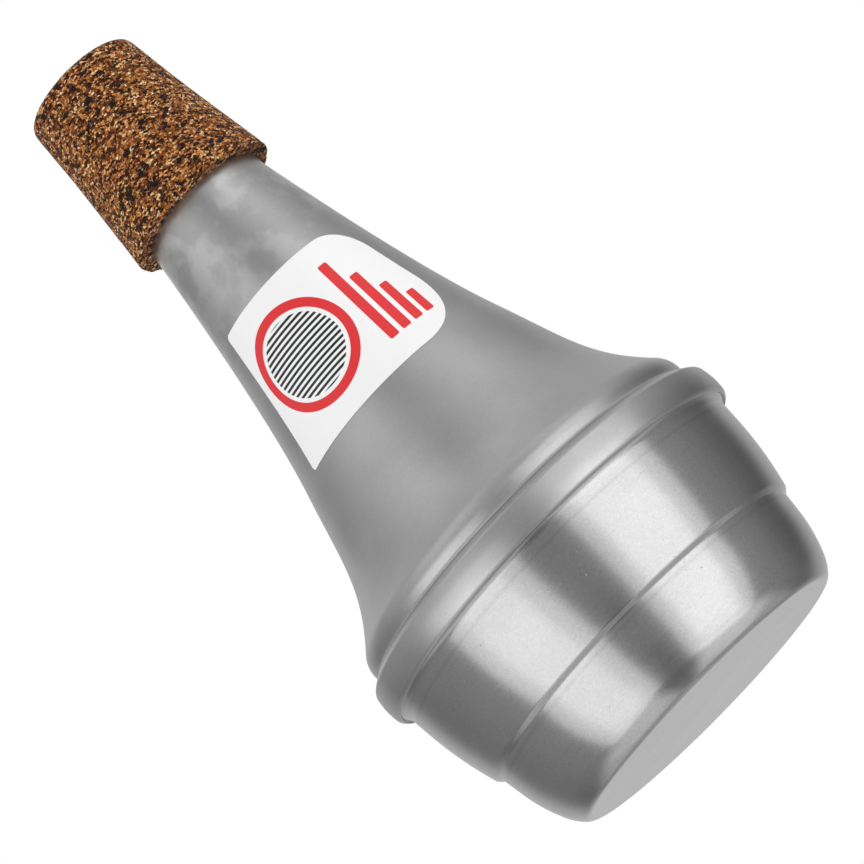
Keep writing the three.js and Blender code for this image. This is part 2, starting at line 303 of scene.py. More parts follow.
def cone_curve(low, high, handle_shares):
    """One half of the cone, bent between two ends that each give a height, a radius and a slope."""
    (low_height, low_radius, low_slope), (high_height, high_radius, high_slope) = low, high
    low_reach, high_reach = (share * (high_height - low_height) for share in handle_shares)
    a = Vector((low_radius, low_height))
    b = Vector((low_radius - low_slope * low_reach, low_height + low_reach))
    c = Vector((high_radius + high_slope * high_reach, high_height - high_reach))
    d = Vector((high_radius, high_height))
    shares = [i / CURVE_STEPS for i in range(CURVE_STEPS + 1)]
    return [a * (1 - t) ** 3 + b * (3 * t * (1 - t) ** 2) + c * (3 * t * t * (1 - t)) + d * t ** 3
            for t in shares]


def cup_path():
    return rounded_path([
        (0, 0, 0),
        (BASE_RADIUS, 0, BASE_ROUND),
        (BASE_BEND_RADIUS, BASE_BEND_HEIGHT, BASE_BEND_ROUND),
        (LOWER_BELLY_RADIUS, LOWER_BELLY_HEIGHT, LOWER_BELLY_ROUND),
        (STEP_FOOT_RADIUS, STEP_FOOT, STEP_FOOT_ROUND),
        (STEP_TOP_RADIUS, STEP_TOP, STEP_TOP_ROUND),
        (UPPER_BELLY_RADIUS, STEP_TOP + UPPER_BELLY_LIFT, UPPER_BELLY_ROUND),
        (WALL_TOP_RADIUS, RIM_BEND, RIM_BEND_ROUND),
        (RIM_FLARE_RADIUS, RIM_FLARE, RIM_FLARE_ROUND),
        (RIM_RADIUS, RIM_WIDEST, RIM_WIDEST_ROUND),
        (RIM_TOP_RADIUS, RIM_TOP, 0),
    ])


def shell_path():
    dip = math.tan(math.radians(BEAD_TUCK_ANGLE))
    seam = rounded_path([
        (BEAD_FOOT_RADIUS - BEAD_TUCK, BEAD_FOOT - BEAD_TUCK * dip, 0),
        (BEAD_FOOT_RADIUS, BEAD_FOOT, BEAD_FOOT_ROUND),
        (BEAD_RADIUS, BEAD_BELLY, BEAD_BELLY_ROUND),
        (BEAD_TOP_RADIUS, BEAD_TOP, BEAD_TOP_ROUND),
        (BEAD_BACK_RADIUS, BEAD_BACK, BEAD_BACK_ROUND),
        (GROOVE_RADIUS, GROOVE, GROOVE_ROUND),
        (LIP_RADIUS, LIP, LIP_ROUND),
        (MOUTH_RADIUS, MOUTH, 0),
    ])
    waist = (WAIST, WAIST_RADIUS, WAIST_SLOPE)
    flare = cone_curve((MOUTH, MOUTH_RADIUS, MOUTH_SLOPE), waist, FLARE_HANDLE_SHARES)
    cone = cone_curve(waist, (NECK_FOOT, NECK_FOOT_RADIUS, NECK_FOOT_SLOPE), CONE_HANDLE_SHARES)
    return [*seam, *flare[1:], *cone[1:], Vector((NECK_TIP_RADIUS, NECK_TIP))]


cup_outside = stepped(cup_path(), STEP)
shell_outside = stepped(shell_path(), STEP)
cone_outside = [spot for spot in shell_outside if spot.y >= MOUTH]


def neck_radius_at(height):
    return radius_at(cone_outside, height)


def neck_bore_at(height):
    return neck_radius_at(height) - SHEET - CONTACT


# Meshes

def place(radius, angle, height):
    """A point in the frame, in metres, from a radius, an angle in radians and a height."""
    return Vector((radius * math.sin(angle), -radius * math.cos(angle), height)) * MM


def new_object(name, vertices, faces):
    mesh = bpy.data.meshes.new(name)
    mesh.from_pydata(vertices, [], faces)
    mesh.validate()
    piece = bpy.data.objects.new(name, mesh)
    bpy.context.scene.collection.objects.link(piece)
    return piece


def shade(piece, sharp_angle=SHARP_ANGLE):
    """Smooth faces, with creases where the surface turns sharply."""
    piece.data.shade_smooth()
    piece.data.set_sharp_from_angle(angle=math.radians(sharp_angle))
    evening = piece.modifiers.new("evening", "WEIGHTED_NORMAL")
    evening.keep_sharp = True
    return piece


def turned(name, outline, around=AROUND):
    """A solid turned from an anticlockwise outline. Points on the axis stay single."""
    vertices = []
    rings = []
    for spot in outline:
        count = around if spot.x > 0 else 1
        rings.append([len(vertices) + i for i in range(count)])
        vertices += [place(spot.x, 2 * math.pi * i / around, spot.y) for i in range(count)]
    on_axis = outline[0].x == 0
    pairs = list(zip(rings, rings[1:]))
    if not on_axis:
        pairs.append((rings[-1], rings[0]))
    faces = []
    for low, high in pairs:
        for i in range(around):
            ahead = (i + 1) % around
            corners = [low[i % len(low)], low[ahead % len(low)],
                       high[ahead % len(high)], high[i % len(high)]]
            faces.append(list(dict.fromkeys(corners)))
    return new_object(name, vertices, faces)


def as_sheet(name, path):
    return turned(name, [*path, *reversed(offset(path, SHEET))])


def roughen(piece, grain, relief_at):
    """Grains of one size, with grooves between them as deep as the relief at each point allows."""
    mesh = piece.data
    for vertex, normal in zip(mesh.vertices, [Vector(n.vector) for n in mesh.vertex_normals]):
        spot = vertex.co / MM
        distances, _ = noise.voronoi(spot / grain)
        groove = 1 - min(GRAIN_GROOVE_STEEPNESS * (distances[1] - distances[0]), 1)
        swell = noise.noise(spot / (SWELL_GRAINS * grain))
        rise = SWELL_SHARE * swell - GRAIN_GROOVE_SHARE * groove * groove
        vertex.co += normal * (relief_at(spot) * rise * MM)
    mesh.update()


# The pieces

def drill_bleed_holes(piece):
    """Two small round holes go through the wall at the back of the cone."""
    height = NECK_FOOT - BLEED_DROP
    drill = bmesh.new()
    for angle in BLEED_ANGLES:
        middle = place(neck_radius_at(height), math.radians(angle), height)
        lie = Matrix.Rotation(math.radians(angle), 4, "Z") @ Matrix.Rotation(math.pi / 2, 4, "X")
        bmesh.ops.create_cone(drill, cap_ends=True, segments=BLEED_SIDES, radius1=BLEED_RADIUS * MM,
                              radius2=BLEED_RADIUS * MM, depth=4 * SHEET * MM,
                              matrix=Matrix.Translation(middle) @ lie)
    mesh = bpy.data.meshes.new("bleed_drill")
    drill.to_mesh(mesh)
    drill.free()
    cutter = bpy.data.objects.new("bleed_drill", mesh)
    bpy.context.scene.collection.objects.link(cutter)
    cut = piece.modifiers.new("bleed_holes", "BOOLEAN")
    cut.object = cutter
    cut.solver = "EXACT"
    bpy.context.view_layer.update()
    graph = bpy.context.evaluated_depsgraph_get()
    drilled = bpy.data.meshes.new_from_object(piece.evaluated_get(graph))
    piece.modifiers.clear()
    piece.data = drilled
    bpy.data.objects.remove(cutter)


def make_cone():
    piece = as_sheet("spun_cone", shell_outside)
    drill_bleed_holes(piece)
    return shade(piece)


def make_cup():
    return shade(as_sheet("spun_cup", cup_outside))


def make_cork():
    """A tapered sleeve of pressed cork, rounded at the tip and cut flat at its wide end."""
    middle = CORK_FOOT + CORK_MIDDLE_LIFT
    foot_radius = neck_radius_at(CORK_FOOT)
    tip_seat = NECK_TIP_RADIUS + GAP
    outside = rounded_path([
        (foot_radius + CONTACT, CORK_FOOT, 0),
        (foot_radius + GAP + CORK_FOOT_WALL, CORK_FOOT, CORK_FOOT_ROUND),
        (neck_radius_at(middle) + GAP + CORK_MIDDLE_WALL, middle, CORK_MIDDLE_ROUND),
        (tip_seat + CORK_TIP_WALL, CORK_TOP, CORK_TIP_ROUND),
        (tip_seat, CORK_TOP, 0),
    ])
    outline = [*stepped(outside, CORK_STEP), Vector((tip_seat, NECK_TIP))]
    piece = turned("cork_sleeve", outline, CORK_AROUND)

    def relief_at(spot):
        if math.hypot(spot.x, spot.y) < neck_radius_at(min(spot.z, NECK_TIP)) + GAP + CONTACT:
            return 0
        near_edge = max(0, 1 - (spot.z - CORK_FOOT) / CORK_CRUMBLE_REACH)
        return CORK_RELIEF + (CORK_CRUMBLE - CORK_RELIEF) * near_edge

    roughen(piece, CORK_GRAIN, relief_at)
    return shade(piece, CORK_SHARP_ANGLE)


def make_tube():
    outer = TUBE_BORE + TUBE_WALL
    foot = BUSH_TOP - TUBE_LENGTH
    outline = rounded_path([
        (TUBE_BORE, foot, TUBE_EDGE_ROUND),
        (outer, foot, TUBE_EDGE_ROUND),
        (outer, BUSH_TOP, TUBE_EDGE_ROUND),
        (TUBE_BORE, BUSH_TOP, TUBE_EDGE_ROUND),
    ])
    return shade(turned("drawn_tube", outline))


def make_bush():
    """A tapered rubber bung with a lip that covers the neck's rim."""
    seat = TUBE_BORE + TUBE_WALL + CONTACT
    foot = NECK_TIP - BUSH_LENGTH
    bore = neck_bore_at(NECK_TIP)
    lip_foot = NECK_TIP + GAP
    outline = rounded_path([
        (seat, foot, BUSH_LIP_ROUND),
        (neck_bore_at(foot), foot, BUSH_LIP_ROUND),
        (bore, NECK_TIP, 0),
        (bore, lip_foot, 0),
        (NECK_TIP_RADIUS, lip_foot, 0),
        (NECK_TIP_RADIUS, BUSH_TOP, BUSH_LIP_ROUND),
        (seat, BUSH_TOP, BUSH_LIP_ROUND),
    ])
    return shade(turned("rubber_bush", outline))


def as_felt(name, outline):
    piece = turned(name, outline)
    roughen(piece, FELT_GRAIN, lambda spot: FELT_RELIEF)
    return shade(piece, FELT_SHARP_ANGLE)


def felt_ring(name, outline):
    return as_felt(name, stepped([*outline, outline[0]], FELT_STEP)[:-1])


def make_neck_felt():
    foot = NECK_FOOT + NECK_FELT_LIFT
    top = foot + NECK_FELT_HEIGHT
    seat = TUBE_BORE + TUBE_WALL + GAP
    corners = [(seat, foot), (neck_bore_at(foot), foot), (neck_bore_at(top), top), (seat, top)]
    return felt_ring("neck_felt_ring", [Vector(corner) for corner in corners])


def lining(name, path, low, high):
    """A felt lining against the inside of a wall."""
    outside = between(offset(path, SHEET + GAP), low, high)
    inside = [Vector((spot.x - FELT_THICKNESS, spot.y)) for spot in outside]
    return felt_ring(name, [*outside, *reversed(inside)])


def make_cone_felt():
    foot = LIP + CONE_FELT_LIFT
    return lining("cone_felt_lining", cone_outside, foot, foot + CONE_FELT_HEIGHT)


def make_cup_felt():
    return lining("cup_felt_lining", cup_outside, CUP_FELT_LIFT, CUP_FELT_LIFT + CUP_FELT_HEIGHT)


def make_base_felt():
    radius = max(spot.x for spot in cup_outside if spot.y == 0) - GAP
    foot = SHEET + GAP
    top = foot + FELT_THICKNESS
    path = [Vector(corner) for corner in ((0, foot), (radius, foot), (radius, top), (0, top))]
    return as_felt("base_felt_disc", stepped(path, FELT_STEP))


def make_gasket():
    inner = GASKET_RADIUS - GASKET_WIDTH
    outline = rounded_path([
        (inner, GASKET_FOOT, GASKET_ROUND),
        (GASKET_RADIUS, GASKET_FOOT, GASKET_ROUND),
        (GASKET_RADIUS, GASKET_TOP, GASKET_ROUND),
        (inner, GASKET_TOP, GASKET_ROUND),
    ])
    return shade(turned("rubber_gasket", outline))


def corner_inset(distance, rounding):
    """How far a rounded corner takes the label's side in, at a distance from the corner's end."""
    rest = max(rounding - distance, 0)
    return rounding - math.sqrt(rounding * rounding - rest * rest)


def label_sides(above, radius):
    """The two sides of the label at a height above its foot, as angles in radians."""
    below = LABEL_HEIGHT - above
    left_inset = max(corner_inset(above, LABEL_LEFT_ROUND), corner_inset(below, LABEL_LEFT_ROUND))
    right_inset = max(corner_inset(above, LABEL_FOOT_ROUND), corner_inset(below, LABEL_TOP_ROUND))
    left, right = math.radians(LABEL_LEFT), math.radians(LABEL_RIGHT)
    return left + left_inset / radius, right - right_inset / radius


def label_layer(distance):
    """The label's points, row by row, at a distance outside the cone."""
    spots = []
    for row in range(LABEL_ROWS + 1):
        above = LABEL_HEIGHT * (1 - math.cos(math.pi * row / LABEL_ROWS)) / 2
        radius = neck_radius_at(LABEL_FOOT + above)
        left, right = label_sides(above, radius)
        for column in range(LABEL_COLUMNS + 1):
            angle = left + (right - left) * column / LABEL_COLUMNS
            spots.append(place(radius + distance, angle, LABEL_FOOT + above))
    return spots


def make_label():
    wide = LABEL_COLUMNS + 1
    layer = wide * (LABEL_ROWS + 1)
    vertices = label_layer(CONTACT + LABEL_THICKNESS) + label_layer(CONTACT)
    faces = []
    for row in range(LABEL_ROWS):
        for column in range(LABEL_COLUMNS):
            a = row * wide + column
            faces.append((a, a + 1, a + wide + 1, a + wide))
            faces.append((layer + a, layer + a + wide, layer + a + wide + 1, layer + a + 1))
    for column in range(LABEL_COLUMNS):
        top = LABEL_ROWS * wide + column
        faces.append((column, layer + column, layer + column + 1, column + 1))
        faces.append((top, top + 1, layer + top + 1, layer + top))
    for row in range(LABEL_ROWS):
        left = row * wide
        right = left + LABEL_COLUMNS
        faces.append((left, left + wide, layer + left + wide, layer + left))
        faces.append((right, layer + right, layer + right + wide, right + wide))
    return shade(new_object("printed_label", vertices, faces))


# Shader helpers

def colour(red, green, blue):
    """A colour as it looks on a screen, 0 to 255, as the shader's own numbers."""
    parts = [part / 255 for part in (red, green, blue)]
    linear = [part / 12.92 if part <= 0.04045 else ((part + 0.055) / 1.055) ** 2.4
              for part in parts]
    return (*linear, 1)


def grey(level):
    return (level, level, level, 1)


def put(tree, kind, inputs=None, **settings):
    """A node with its settings, and its inputs filled by values or by other nodes' outputs."""
    node = tree.nodes.new("ShaderNode" + kind)
    for name, value in settings.items():
        setattr(node, name, value)
    for name, value in (inputs or {}).items():
        if isinstance(value, bpy.types.NodeSocket):
            tree.links.new(value, node.inputs[name])
        else:
            node.inputs[name].default_value = value
    return node


def calc(tree, operation, *values, clamp=False):
    sockets = dict(enumerate(values))
    return put(tree, "Math", sockets, operation=operation, use_clamp=clamp).outputs[0]


def vector_calc(tree, operation, *values):
    return put(tree, "VectorMath", dict(enumerate(values)), operation=operation).outputs[0]


def scaled(tree, vector, factor):
    return put(tree, "VectorMath", {0: vector, "Scale": factor}, operation="SCALE").outputs[0]


def length(tree, vector):
    return put(tree, "VectorMath", {0: vector}, operation="LENGTH").outputs["Value"]


def spread(tree, share, low, high):
    """A value that goes from low to high as a share goes from 0 to 1."""
    return calc(tree, "MULTIPLY_ADD", share, high - low, low)


def ramp(tree, value, low, high):
    """A share from 0 at low to 1 at high."""
    sockets = {"Value": value, "From Min": low, "From Max": high}
    return put(tree, "MapRange", sockets, clamp=True).outputs["Result"]


def blend(tree, share, first, second, blend_type="MIX"):
    """A colour between two, in indexed sockets because a mix node names them all A and B."""
    return put(tree, "Mix", {0: share, 6: first, 7: second}, data_type="RGBA",
               blend_type=blend_type).outputs[2]


def shades(tree, value, stops, interpolation="LINEAR"):
    """A colour ramp from places and colours."""
    node = put(tree, "ValToRGB", {"Fac": value})
    node.color_ramp.interpolation = interpolation
    elements = node.color_ramp.elements
    while len(elements) < len(stops):
        elements.new(1)
    for element, (position, tone) in zip(elements, stops):
        element.position = position
        element.color = tone
    return node.outputs["Color"]


def bump(tree, height, distance, strength=1.0):
    sockets = {"Height": height, "Distance": distance * MM, "Strength": strength}
    return put(tree, "Bump", sockets).outputs[0]


def greys(levels):
    """Stops for a colour ramp from pairs of a place and a grey."""
    return [(position, grey(level)) for position, level in levels]


def new_group(name, inputs, outputs):
    """A shader group with number inputs and their usual values, and number outputs."""
    group = bpy.data.node_groups.new(name, "ShaderNodeTree")
    for label, value in inputs.items():
        socket = group.interface.new_socket(label, in_out="INPUT", socket_type="NodeSocketFloat")
        socket.default_value = value
    for label in outputs:
        group.interface.new_socket(label, in_out="OUTPUT", socket_type="NodeSocketFloat")
    start, end = group.nodes.new("NodeGroupInput"), group.nodes.new("NodeGroupOutput")
    return group, start.outputs, end.inputs


def use(tree, group, **inputs):
    """A group placed in a tree. Its socket names are written with underscores for spaces."""
    named = {name.replace("_", " "): value for name, value in inputs.items()}
    return put(tree, "Group", named, node_tree=group).outputs


def millimetres(tree):
    """The surface point in millimetres, in the mute's own frame."""
    return scaled(tree, put(tree, "TexCoord").outputs["Object"], 1 / MM)


# Shader groups

INK_SOFTNESS = 0.06  # half the width of a print's soft edge


def make_around_group():
    """Where a point lies round the axis: its angle from the front, its radius and its height."""
    group, _, out = new_group("around_the_axis", {}, ["Angle", "Radius", "Height"])
    spot = millimetres(group)
    at = put(group, "SeparateXYZ", {0: spot}).outputs
    front = calc(group, "MULTIPLY", at["Y"], -1)
    group.links.new(calc(group, "ARCTAN2", at["X"], front), out["Angle"])
    group.links.new(length(group, vector_calc(group, "MULTIPLY", spot, (1, 1, 0))), out["Radius"])
    group.links.new(at["Z"], out["Height"])
    return group


def make_spun_group(around_group):
    """Fine rings that the spinning tool leaves round the axis."""
    group, inputs, out = new_group("spun_rings", {"Spacing": 0.5, "Drift": 1.5}, ["Rings"])
    around = use(group, around_group)
    drift = [calc(group, "MULTIPLY", calc(group, turn, around["Angle"]), inputs["Drift"])
             for turn in ("COSINE", "SINE")]
    radius = calc(group, "DIVIDE", around["Radius"], inputs["Spacing"])
    height = calc(group, "DIVIDE", around["Height"], inputs["Spacing"])
    place_in = put(group, "CombineXYZ", {0: radius, 1: height, 2: drift[0]}).outputs[0]
    sockets = {"Vector": place_in, "W": drift[1], "Scale": 1, "Detail": 3, "Roughness": 0.6}
    rings = put(group, "TexNoise", sockets, noise_dimensions="4D").outputs["Fac"]
    group.links.new(rings, out["Rings"])
    return group


def make_cloud_group():
    """Slow, soft changes over a surface."""
    names = {"Size": 12, "Detail": 2, "Place": 0}
    group, inputs, out = new_group("soft_clouds", names, ["Clouds"])
    sockets = {"Vector": millimetres(group), "W": inputs["Place"], "Detail": inputs["Detail"],
               "Scale": calc(group, "DIVIDE", 1, inputs["Size"]), "Roughness": 0.55}
    clouds = put(group, "TexNoise", sockets, noise_dimensions="4D").outputs["Fac"]
    group.links.new(clouds, out["Clouds"])
    return group


def make_pit_group():
    """Small scattered pits: 1 in a pit and 0 on the surface around it."""
    names = {"Spacing": 2, "Width": 0.15, "Share": 0.5}
    group, inputs, out = new_group("small_pits", names, ["Pits"])
    sockets = {"Vector": millimetres(group), "Randomness": 1,
               "Scale": calc(group, "DIVIDE", 1, inputs["Spacing"])}
    spots = put(group, "TexVoronoi", sockets).outputs
    width = calc(group, "DIVIDE", inputs["Width"], inputs["Spacing"])
    pit = calc(group, "SUBTRACT", 1, calc(group, "DIVIDE", spots["Distance"], width), clamp=True)
    chosen = put(group, "SeparateColor", {0: spots["Color"]}).outputs[0]
    kept = calc(group, "LESS_THAN", chosen, inputs["Share"])
    group.links.new(calc(group, "MULTIPLY", pit, kept), out["Pits"])
    return group


def make_fibre_group():
    """A tangle of fine fibres, for felt and paper."""
    group, inputs, out = new_group("tangled_fibres", {"Width": 0.3, "Tangle": 2}, ["Fibres"])
    at = millimetres(group)
    warp = put(group, "TexNoise", {"Vector": at, "Scale": 0.8, "Detail": 2}).outputs["Color"]
    moved = vector_calc(group, "ADD", at, scaled(group, warp, inputs["Tangle"]))
    sockets = {"Vector": moved, "Scale": calc(group, "DIVIDE", 0.5, inputs["Width"]), "Detail": 4,
               "Roughness": 0.65, "Distortion": 1.5}
    fibres = put(group, "TexNoise", sockets).outputs["Fac"]
    group.links.new(fibres, out["Fibres"])
    return group


def make_print_group():
    """A printed bar with round corners, or a disc where the rounding equals the half sizes."""
    names = {"Across": 0, "Up": 0, "Middle across": 0, "Middle up": 0, "Half width": 5,
             "Half height": 5, "Rounding": 1}
    group, inputs, out = new_group("printed_bar", names, ["Ink"])
    beyond = []
    for along, middle, half in (("Across", "Middle across", "Half width"),
                                ("Up", "Middle up", "Half height")):
        away = calc(group, "ABSOLUTE", calc(group, "SUBTRACT", inputs[along], inputs[middle]))
        inner = calc(group, "SUBTRACT", inputs[half], inputs["Rounding"])
        beyond.append(calc(group, "MAXIMUM", calc(group, "SUBTRACT", away, inner), 0))
    corner = put(group, "CombineXYZ", {0: beyond[0], 1: beyond[1]}).outputs[0]
    edge = calc(group, "SUBTRACT", inputs["Rounding"], length(group, corner))
    group.links.new(ramp(group, edge, -INK_SOFTNESS, INK_SOFTNESS), out["Ink"])
    return group


around_group = make_around_group()
spun_group = make_spun_group(around_group)
cloud_group = make_cloud_group()
pit_group = make_pit_group()
fibre_group = make_fibre_group()
print_group = make_print_group()


# Materials

# Metal
METAL_LEVEL = 0.5  # its grey
METAL_CLOUD_RANGE = (0.35, 0.65)
BLOTCH_START = WAIST + 10  # the height from which they grow stronger towards the cork
BLOTCH_RANGE = (0.46, 0.6)
BLOTCH_LEVEL = 0.8
SCRATCH_RANGE = (0.35, 0.65)
FAINT_RINGS = ((STEP_FOOT - 1.4, 0.7), (BEAD_FOOT - 3.8, 0.6))  # height and half the width
FAINT_RING_STRENGTH = 0.1
PIT_LEVEL = METAL_LEVEL * 0.35
PIT_STRENGTH = 0.5
PIT_DEPTH = 0.05
STREAK_CHANGE = 0.05  # how much the spinning rings change the roughness, both ways
DRAWN_LINES = 9  # how close the lines along the tube lie
DRAWN_STRETCH = 0.03  # how fast they change along it

# Cork
CORK_SQUASH = 1.45  # how much flatter than wide a grain is
CORK_WARP_SCALE = 1.4
CORK_WARP = 1.3  # how far the grains' edges wander
FINE_GRAIN = 0.72
FINE_GROOVE = 0.12
LESSER_GRAIN = 0.4
LESSER_GREYS = ((0.1, 0.08), (0.9, 0.95))
LESSER_STRENGTH = 0.4
SPECKLE_SCALE = 5
SPECKLE_GREYS = ((0.3, 0.2), (0.7, 0.9))
SPECKLE_STRENGTH = 0.35
SPECKLE_HEIGHT = 0.6
GRAIN_GROOVE_TONE = (54, 27, 12)
CORK_TONES = ((0.0, (30, 16, 9)), (0.2, (72, 36, 14)), (0.42, (136, 76, 34)),
              (0.66, (194, 120, 60)), (0.86, (228, 166, 102)), (1.0, (250, 208, 158)))
BARK_FLAKES = ((1.7, 0.09, (30, 24, 25)), (1.0, 0.13, (30, 19, 20)))  # grain size, share and colour
BARK_EDGE = 0.06
BARK_BREAKS = (0.7, 0.6)  # the speckle at which a flake is broken and whole

# Rubber and felt
RUBBER_SWELL = 0.05
RUBBER_PIT_DEPTH = 0.04
FIBRE_RANGE = (0.3, 0.7)
FELT_CLOUD_STRENGTH = 0.4

# The label's print, in millimetres from its middle line and its foot
DISC_ACROSS = -8.5
DISC_UP = 18.5
RING_RADIUS = 13.2
RING_BORE = 10.9
STRIPED_RADIUS = 9.9
STRIPE_PITCH = 0.62  # from a stripe's middle to a gap's middle
STRIPE_EDGE = (0.36, 0.28)
BARS_ACROSS = 8.6
BARS_FOOT = 6
BAR_PITCH = 3.7
BAR_HALF_WIDTH = 1.25
BAR_HALF_HEIGHTS = (12.5, 9.2, 6.2, 3.6)
BAR_ROUND = 0.5
PRINT_RED = (222, 32, 38)
PRINT_BLACK = (26, 25, 26)


def new_material(name):
    material = bpy.data.materials.new(name)
    material.use_nodes = True
    return material, material.node_tree, material.node_tree.nodes["Principled BSDF"]


def dress(tree, shader, **inputs):
    """Fills the shader's own sockets, whose names are written with underscores for spaces."""
    for name, value in inputs.items():
        socket = shader.inputs[name.replace("_", " ")]
        if isinstance(value, bpy.types.NodeSocket):
            tree.links.new(value, socket)
        else:
            socket.default_value = value


def darken_rings(tree, tone, height, rings):
    """Faint dark rings, each given by its height and half its width."""
    for middle, half_width in rings:
        away = calc(tree, "ABSOLUTE", calc(tree, "SUBTRACT", height, middle))
        strength = calc(tree, "MULTIPLY", ramp(tree, away, half_width, 0), FAINT_RING_STRENGTH)
        tone = blend(tree, strength, tone, grey(0))
    return tone


def spun_metal(name, roughness, ring_depth, mottle, wear, patches=0, faint_rings=()):
    """Satin aluminium with fine spinning rings, soft clouds, light scratches and a few pits.

    Mottle is how much the clouds change the grey, wear how strong the scratches are, and patches
    how strong the pale blotches near the cork are.
    """
    material, tree, shader = new_material(name)
    clouds = use(tree, cloud_group, Size=22, Detail=3, Place=1)["Clouds"]
    darker, paler = (grey(METAL_LEVEL * (1 + change)) for change in (-mottle, mottle))
    tone = blend(tree, ramp(tree, clouds, *METAL_CLOUD_RANGE), darker, paler)
    height = use(tree, around_group)["Height"]
    tone = darken_rings(tree, tone, height, faint_rings)
    small_clouds = use(tree, cloud_group, Size=7, Detail=3, Place=3)["Clouds"]
    blotches = ramp(tree, small_clouds, *BLOTCH_RANGE)
    near_cork = ramp(tree, height, BLOTCH_START, NECK_FOOT)
    worn = calc(tree, "MULTIPLY", calc(tree, "MULTIPLY", blotches, near_cork), patches)
    tone = blend(tree, worn, tone, grey(BLOTCH_LEVEL))
    scratches = ramp(tree, use(tree, fibre_group, Width=0.25, Tangle=2)["Fibres"], *SCRATCH_RANGE)
    tone = blend(tree, wear, tone, shades(tree, scratches, greys(((0, 0), (1, 1)))), "OVERLAY")
    pits = use(tree, pit_group, Spacing=2.6, Width=0.16, Share=0.35)["Pits"]
    tone = blend(tree, calc(tree, "MULTIPLY", pits, PIT_STRENGTH), tone, grey(PIT_LEVEL))
    rings = use(tree, spun_group, Spacing=0.45, Drift=1.2)["Rings"]
    streaks = spread(tree, rings, roughness - STREAK_CHANGE, roughness + STREAK_CHANGE)
    sunk = calc(tree, "MULTIPLY", pits, -PIT_DEPTH)
    relief = calc(tree, "MULTIPLY_ADD", rings, ring_depth, sunk)
    dress(tree, shader, Base_Color=tone, Metallic=1.0, Roughness=streaks,
          Normal=bump(tree, relief, distance=1))
    return material


def drawn_metal():
    """Bright drawn aluminium with fine lines along the tube."""
    material, tree, shader = new_material("drawn_aluminium_tube")
    around = use(tree, around_group)
    turns = [calc(tree, "MULTIPLY", calc(tree, turn, around["Angle"]), DRAWN_LINES)
             for turn in ("COSINE", "SINE")]
    along = calc(tree, "MULTIPLY", around["Height"], DRAWN_STRETCH)
    at = put(tree, "CombineXYZ", {0: turns[0], 1: turns[1], 2: along}).outputs[0]
    lines = put(tree, "TexNoise", {"Vector": at, "Scale": 1, "Detail": 3}).outputs["Fac"]
    clouds = use(tree, cloud_group, Size=8, Detail=2, Place=4)["Clouds"]
    dress(tree, shader, Base_Color=blend(tree, clouds, grey(0.55), grey(0.72)), Metallic=1.0,
          Roughness=spread(tree, lines, 0.2, 0.35), Normal=bump(tree, lines, distance=0.01))
    return material


def pressed_cork():
    """Cork grains pressed together: tan, orange and brown, with dark flakes of bark among them."""
    material, tree, shader = new_material("pressed_cork_grains")
    at = millimetres(tree)
    flat = vector_calc(tree, "MULTIPLY", at, (1, 1, CORK_SQUASH))
    sockets = {"Vector": flat, "Scale": CORK_WARP_SCALE, "Detail": 2}
    warp = put(tree, "TexNoise", sockets).outputs["Color"]
    centred = vector_calc(tree, "SUBTRACT", warp, (0.5, 0.5, 0.5))
    moved = vector_calc(tree, "ADD", flat, scaled(tree, centred, CORK_WARP))

    def grains(size, feature="F1"):
        sockets = {"Vector": moved, "Scale": 1 / size}
        return put(tree, "TexVoronoi", sockets, feature=feature).outputs

    def pick(voronoi, channel):
        return put(tree, "SeparateColor", {0: voronoi["Color"]}).outputs[channel]

    def inside(size, edge):
        return ramp(tree, grains(size, "DISTANCE_TO_EDGE")["Distance"], 0, edge)

    stops = [(position, colour(*parts)) for position, parts in CORK_TONES]
    tone = shades(tree, pick(grains(FINE_GRAIN), 0), stops)
    uneven = shades(tree, pick(grains(LESSER_GRAIN), 1), greys(LESSER_GREYS))
    tone = blend(tree, LESSER_STRENGTH, tone, uneven, "OVERLAY")
    on_grain = inside(FINE_GRAIN, FINE_GROOVE)
    tone = blend(tree, ramp(tree, on_grain, 1, 0), tone, colour(*GRAIN_GROOVE_TONE))
    sockets = {"Vector": at, "Scale": SPECKLE_SCALE, "Detail": 3}
    speckle = put(tree, "TexNoise", sockets).outputs["Fac"]
    speckles = shades(tree, speckle, greys(SPECKLE_GREYS))
    tone = blend(tree, SPECKLE_STRENGTH, tone, speckles, "OVERLAY")
    for size, share, bark in BARK_FLAKES:
        chosen = calc(tree, "LESS_THAN", pick(grains(size), 2), share)
        dark = calc(tree, "MULTIPLY", chosen, inside(size, BARK_EDGE))
        broken = calc(tree, "MULTIPLY", dark, ramp(tree, speckle, *BARK_BREAKS))
        tone = blend(tree, broken, tone, colour(*bark))
    height = calc(tree, "ADD", on_grain, calc(tree, "MULTIPLY", speckle, SPECKLE_HEIGHT))
    dress(tree, shader, Base_Color=tone, Roughness=spread(tree, speckle, 0.7, 0.9),
          Specular_IOR_Level=0.1, Sheen_Weight=0.1, Sheen_Roughness=0.3,
          Normal=bump(tree, height, distance=0.12, strength=0.8))
    return material


